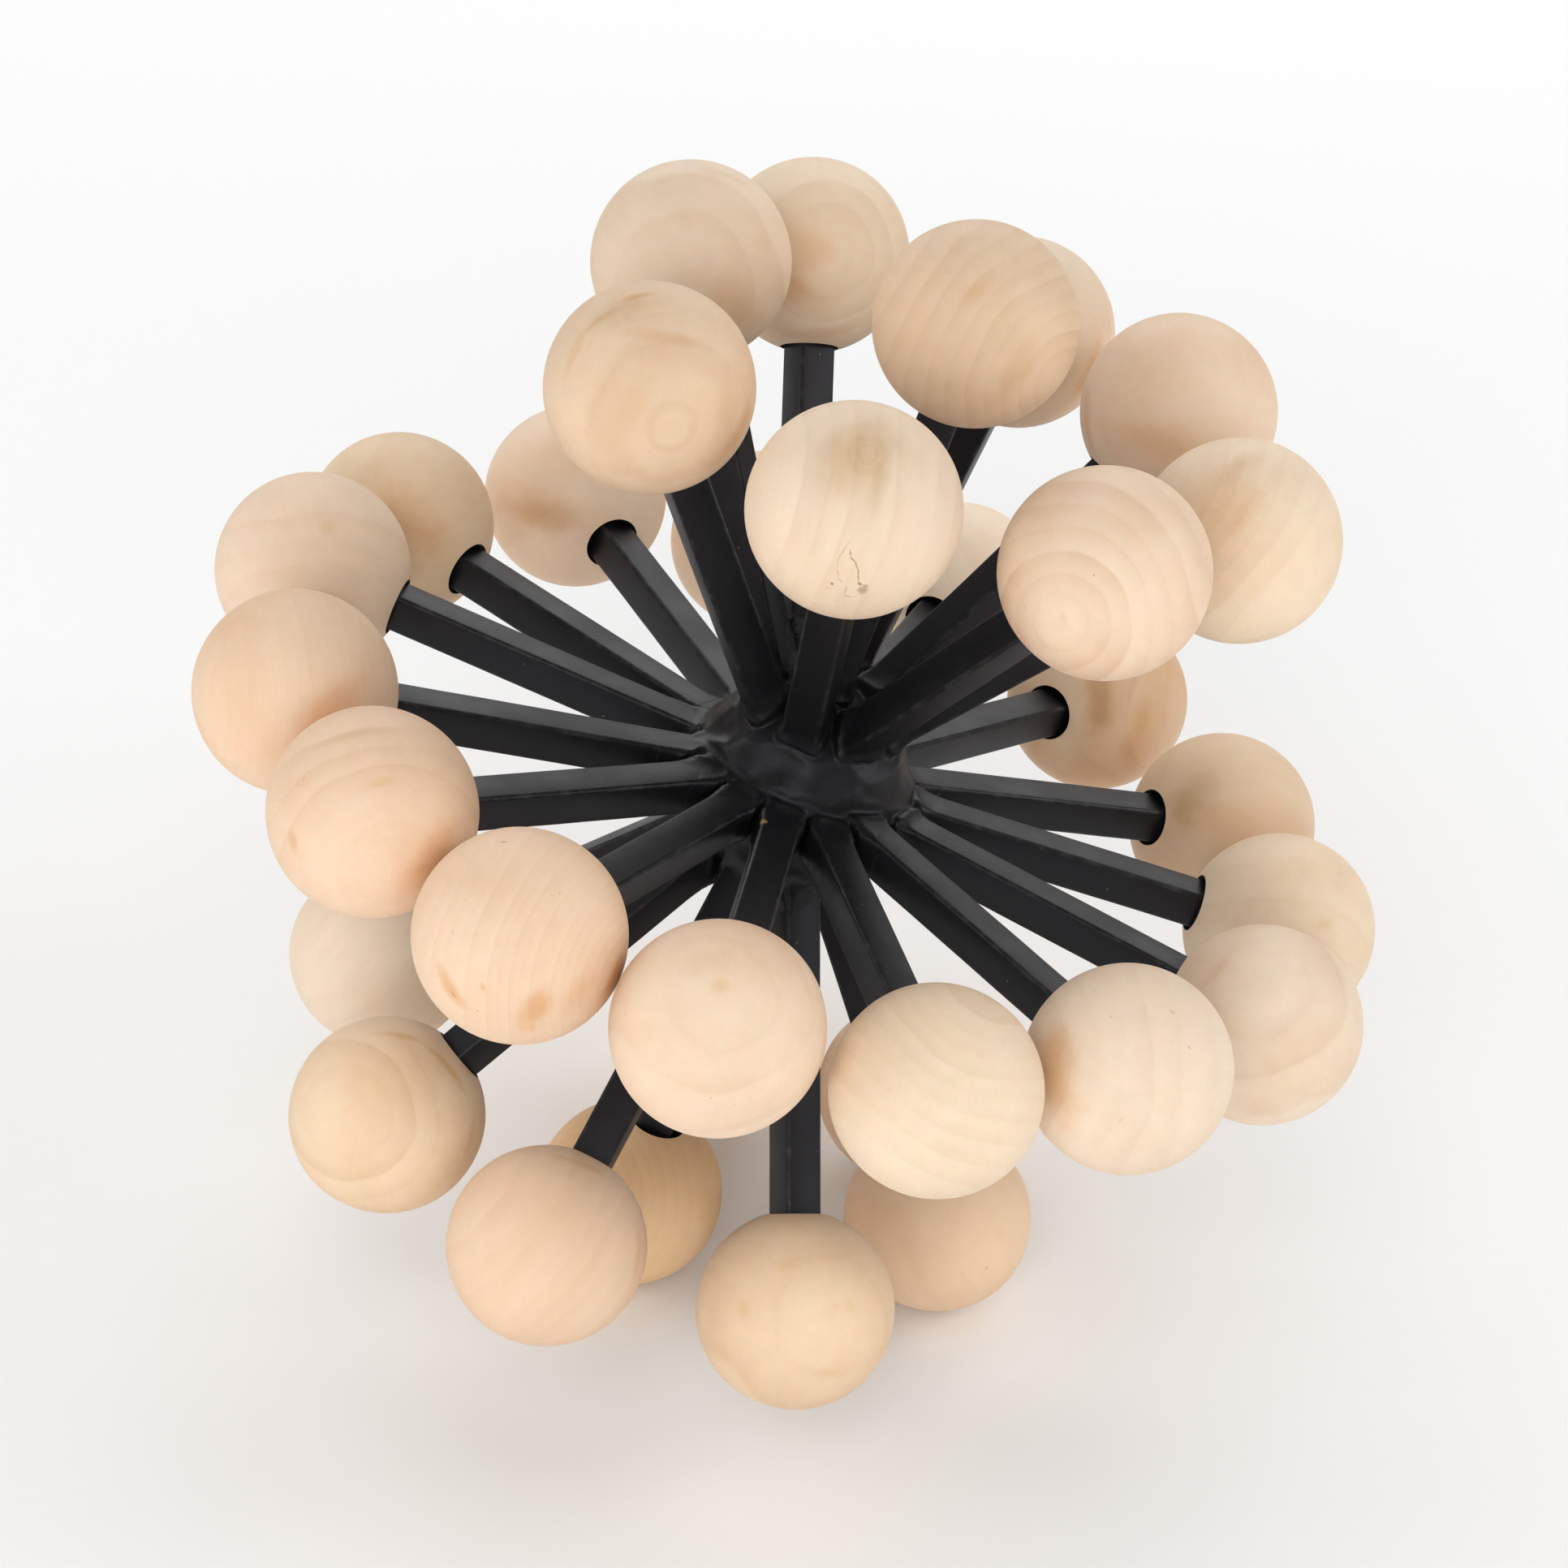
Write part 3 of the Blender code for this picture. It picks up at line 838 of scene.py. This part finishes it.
def ball_points(round_part, wall, chance):
    """Points of a turned ball along Z, its round a little out of true."""
    points = [Vector((0.0, 0.0, BALL_RADIUS))]
    for radius, height in round_part + wall:
        for turn in range(BALL_TURNS):
            angle = math.tau * turn / BALL_TURNS
            points.append(Vector((radius * math.cos(angle), radius * math.sin(angle), height)))
    points.append(Vector((0.0, 0.0, wall[-1][1])))
    shift = Vector([chance.uniform(0, LUMP_SHIFT) for _ in range(3)])
    for index in range(1 + len(round_part) * BALL_TURNS):
        lump = noise.noise(points[index] / BALL_RADIUS * LUMPS_PER_RADIUS + shift)
        points[index] = points[index] * (1 + OUT_OF_ROUND * lump / BALL_RADIUS)
    return points


def ball_faces(rings, last):
    """Faces of a turned ball: its top, its rings, and the floor of its socket at the last point."""
    faces = [(0, 1 + (turn + 1) % BALL_TURNS, 1 + turn) for turn in range(BALL_TURNS)]
    faces += [face[::-1] for face in tube_faces(rings, BALL_TURNS, 1)]
    rim = last - BALL_TURNS
    faces += [(last, rim + turn, rim + (turn + 1) % BALL_TURNS) for turn in range(BALL_TURNS)]
    return faces


def timber_frame(name, axes, chance):
    """A ball's timber: its pith's place from the ball's centre, its turn with Z along the pith, its looks."""
    if name in TIMBER:
        *numbers, tone = TIMBER[name]
    else:
        numbers = [chance.uniform(*limits) for limits in UNSEEN_TIMBER]
        tone = chance.choice(sorted(TONES))
    right, up, heading, tilt, *grain, calm = numbers
    heading = math.radians(heading)
    tilt = math.radians(tilt)
    seen = Vector((math.sin(tilt) * math.cos(heading), math.sin(tilt) * math.sin(heading), math.cos(tilt)))
    along = axes @ seen
    side = along.orthogonal().normalized()
    turn = Matrix((side, along.cross(side), along)).transposed()
    front = math.sqrt(max(0.0, 1.0 - right * right - up * up))
    pith = axes @ Vector((right, up, front)) * BALL_RADIUS
    return pith, turn, grain, calm, TONES[tone]


def ball_mesh(name, arm, axes, chance, materials):
    """A turned ball with its socket, with its timber's place at each point."""
    round_part, wall = ball_profile()
    points = [arm @ point for point in ball_points(round_part, wall, chance)]
    faces = ball_faces(len(round_part + wall), len(points) - 1)
    mesh = bpy.data.meshes.new(name)
    mesh.from_pydata([tuple(point) for point in points], [], faces)
    for material in materials:
        mesh.materials.append(material)
    outside = BALL_TURNS * len(round_part)
    mesh.polygons.foreach_set("material_index", [int(index >= outside) for index in range(len(faces))])

    pith, turn, grain, calm, tint = timber_frame(name, axes, chance)
    inward = turn.transposed()
    slide = Vector((0.0, 0.0, chance.uniform(-TIMBER_SLIDE_MM, TIMBER_SLIDE_MM)))
    timber = [inward @ (point - pith) / MM + slide for point in points]
    set_points(mesh, "timber", "FLOAT_VECTOR", timber)
    set_points(mesh, "grain", "FLOAT_VECTOR", [grain] * len(points))
    set_points(mesh, "calm_mm", "FLOAT", [calm] * len(points))
    set_points(mesh, "tint", "FLOAT_COLOR", [opaque(tint)] * len(points))
    return mesh


def settle_on_floor(mesh, centre):
    """Flatten what would reach below the floor, so that a ball stands on its flat spot."""
    for vertex in mesh.vertices:
        vertex.co.z = max(vertex.co.z, -centre.z)


def add_balls(layout, axes):
    """Every ball, in place of its plain solid."""
    chance = random.Random(RANDOM_SEED)
    plain = wood_material("turned_wood", axes)
    # The sockets' insides are painted shade.
    socket = shaded_socket_material()
    for name, centre in layout.centres.items():
        wood = plain
        sight = sight_axes(axes, centre)
        if name in MARKS:
            wood = wood_material("turned_wood_" + name, sight, MARKS[name], CRACKS.get(name, ()))
        mesh = ball_mesh(name, layout.arms[name], sight, chance, (wood, socket))
        settle_on_floor(mesh, centre)
        mesh.shade_smooth()
        mesh.set_sharp_from_angle(angle=math.radians(BALL_SHARP_ANGLE))
        ball = add_piece("turned_" + name, mesh, centre)
        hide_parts(name)


def bar_outline():
    """Square outline with rounded corners, and at each point whether it lies on a corner."""
    core = BAR_SIDE / 2 - BAR_CORNER
    outline = []
    on_corner = []
    for corner in range(4):
        start = math.tau * corner / 4
        middle = Matrix.Rotation(start, 2) @ Vector((core, core))
        for step in range(BAR_CORNER_STEPS + 1):
            angle = start + math.pi / 2 * step / BAR_CORNER_STEPS
            outline.append(middle + BAR_CORNER * Vector((math.cos(angle), math.sin(angle))))
            on_corner.append(float(0 < step < BAR_CORNER_STEPS))
    return outline, on_corner


def bar_shells(layout):
    """Points, faces and edge marks of all the bars, each from inside the hub to its ball's socket."""
    outline, on_corner = bar_outline()
    sides = len(outline)
    end = layout.reach - BALL_RADIUS + SOCKET_DEPTH - BAR_END_GAP
    points = []
    faces = []
    marks = []
    for arm in layout.arms.values():
        first = len(points)
        for ring in range(BAR_RINGS + 1):
            height = BAR_ROOT + (end - BAR_ROOT) * ring / BAR_RINGS
            for place in outline:
                spot = Vector((place.x, place.y, height))
                wave = noise.noise((arm @ spot) * BAR_WAVES_PER_METRE) * BAR_WAVE
                spot.xy += place.normalized() * wave
                points.append(arm @ spot + layout.hub)
            marks += on_corner
        faces += tube_faces(BAR_RINGS + 1, sides, first)
        faces.append(tuple(range(first + sides - 1, first - 1, -1)))
        faces.append(tuple(range(len(points) - sides, len(points))))
    return points, faces, marks


class Weld:
    """The hub's weld metal: a lumpy ball that blends into every bar."""

    def __init__(self, layout):
        self.hub = np.array(layout.hub)
        self.frames = [np.array(arm) for arm in layout.arms.values()]

    def depth(self, points):
        """Signed distance of points, from the hub's centre, to the blended surface."""
        total = np.zeros(len(points))
        for place, radius in WELD_BALLS:
            total += np.exp(-(np.linalg.norm(points - np.array(place), axis=1) - radius) / WELD_BLEND)
        core = BAR_SIDE / 2 - BAR_CORNER
        for arm in self.frames:
            local = points @ arm
            over = np.abs(local[:, :2]) - core
            outside = np.linalg.norm(np.maximum(over, 0.0), axis=1)
            inside = np.minimum(over.max(axis=1), 0.0)
            across = outside + inside - BAR_CORNER + WELD_INSET
            lengthwise = np.maximum(local[:, 2] - WELD_REACH, -local[:, 2])
            total += np.exp(-np.maximum(across, lengthwise) / WELD_BLEND)
        return -WELD_BLEND * np.log(total)

    def lumps(self, points):
        """Height of the lumps and beads, fading out along the bars."""
        heights = np.empty(len(points))
        for index, point in enumerate(points):
            spot = Vector(point)
            fade = min(1.0, max(0.0, (WELD_LUMPS_END - spot.length) / WELD_LUMPS_FADE))
            lump = noise.noise(spot / WELD_LUMP_PERIOD) * WELD_LUMP
            bead = noise.noise(spot / WELD_BEAD_PERIOD) * WELD_BEAD
            heights[index] = fade * (lump + bead)
        return heights

    def settle(self, points):
        """Move points onto the surface."""
        points = points - self.hub
        for _ in range(SETTLE_STEPS):
            base = self.depth(points)
            depth = base - self.lumps(points)
            slope = np.empty_like(points)
            for axis in range(3):
                nudged = points.copy()
                nudged[:, axis] += SETTLE_PROBE
                slope[:, axis] = (self.depth(nudged) - base) / SETTLE_PROBE
            steepness = np.maximum((slope ** 2).sum(axis=1), SETTLE_LEAST_SLOPE)
            step = np.clip(depth / steepness, -SETTLE_LIMIT, SETTLE_LIMIT)
            points = points - slope * step[:, None]
        return points + self.hub

    def rough_shape(self, layout):
        """Closed mesh of the weld's balls and bar stubs, fused into one skin of small faces."""
        body = bmesh.new()
        for place, radius in WELD_BALLS:
            ball = bmesh.ops.create_icosphere(body, subdivisions=WELD_BALL_SUBDIVISIONS, radius=radius)
            bmesh.ops.translate(body, verts=ball["verts"], vec=layout.hub + place)
        side = BAR_SIDE - 2 * WELD_INSET
        stub = Matrix.Diagonal((side, side, WELD_REACH, 1.0))
        for arm in layout.arms.values():
            middle = Matrix.Translation(layout.hub + arm.col[2] * WELD_REACH / 2)
            bmesh.ops.create_cube(body, size=1.0, matrix=middle @ arm.to_4x4() @ stub)
        mesh = bpy.data.meshes.new("weld_shape")
        body.to_mesh(mesh)
        body.free()
        shape = bpy.data.objects.new("weld_shape", mesh)
        bpy.context.scene.collection.objects.link(shape)
        fuse = shape.modifiers.new("fuse", "REMESH")
        fuse.mode = "VOXEL"
        fuse.voxel_size = WELD_VOXEL
        fused = bpy.data.meshes.new_from_object(shape.evaluated_get(bpy.context.evaluated_depsgraph_get()))
        bpy.data.objects.remove(shape, do_unlink=True)
        return fused


def weld_shell(layout):
    """Points and faces of the hub's weld metal."""
    weld = Weld(layout)
    fused = weld.rough_shape(layout)
    points = np.array([vertex.co for vertex in fused.vertices])
    faces = [tuple(polygon.vertices) for polygon in fused.polygons]
    return weld.settle(points), faces


def add_welded_frame(layout):
    """Bars and hub, in place of the plain welded frame."""
    points, faces, marks = bar_shells(layout)
    weld_points, weld_faces = weld_shell(layout)
    first = len(points)
    points += [Vector(point) for point in weld_points]
    faces += [tuple(first + index for index in face) for face in weld_faces]
    marks += [0.0] * len(weld_points)
    mesh = bpy.data.meshes.new("painted_frame")
    mesh.from_pydata([tuple(point) for point in points], [], faces)
    mesh.materials.append(paint_material(layout.arms[CHIPPED_ARM] @ CHIP_PLACE + layout.hub))
    set_points(mesh, "edge", "FLOAT", marks)
    mesh.shade_smooth()
    mesh.set_sharp_from_angle(angle=math.radians(FRAME_SHARP_ANGLE))
    piece = add_piece("painted_frame", mesh)
    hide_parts("welded_frame")


def add_floor():
    """Plain pale floor, well past the picture's edge."""
    mesh = bpy.data.meshes.new("floor")
    reach = FLOOR_REACH
    corners = [(-reach, -reach, 0.0), (reach, -reach, 0.0), (reach, reach, 0.0), (-reach, reach, 0.0)]
    mesh.from_pydata(corners, [], [(0, 1, 2, 3)])
    mesh.materials.append(floor_material())
    floor = bpy.data.objects.new("floor", mesh)
    bpy.context.scene.collection.objects.link(floor)


def add_soft_light(name, azimuth, elevation, distance, size, watts, aim):
    """A soft light that faces the sphere; size is its width and height, azimuth 0 the camera's side."""
    data = bpy.data.lights.new(name, "AREA")
    data.shape = "RECTANGLE"
    data.size, data.size_y = size
    data.energy = watts
    light = bpy.data.objects.new(name, data)
    azimuth = math.radians(azimuth)
    elevation = math.radians(elevation)
    away = Vector((
        math.sin(azimuth) * math.cos(elevation),
        -math.cos(azimuth) * math.cos(elevation),
        math.sin(elevation),
    ))
    light.location = aim + away * distance
    light.rotation_euler = away.to_track_quat("Z", "Y").to_euler()
    bpy.context.scene.collection.objects.link(light)


def add_studio(layout):
    """White studio light: six soft lights round the sphere and a weak even sky."""
    world = bpy.data.worlds.new("studio")
    world.use_nodes = True
    sky = world.node_tree.nodes["Background"]
    sky.inputs["Color"].default_value = opaque(WHITE)
    sky.inputs["Strength"].default_value = SKY_STRENGTH
    bpy.context.scene.world = world
    for name, settings in LIGHTS.items():
        add_soft_light(name, *settings, layout.hub)
    bpy.context.scene.view_settings.view_transform = "Standard"


layout = Layout()
axes = camera_axes()
add_camera(axes)
add_balls(layout, axes)
add_welded_frame(layout)
add_floor()
add_studio(layout)
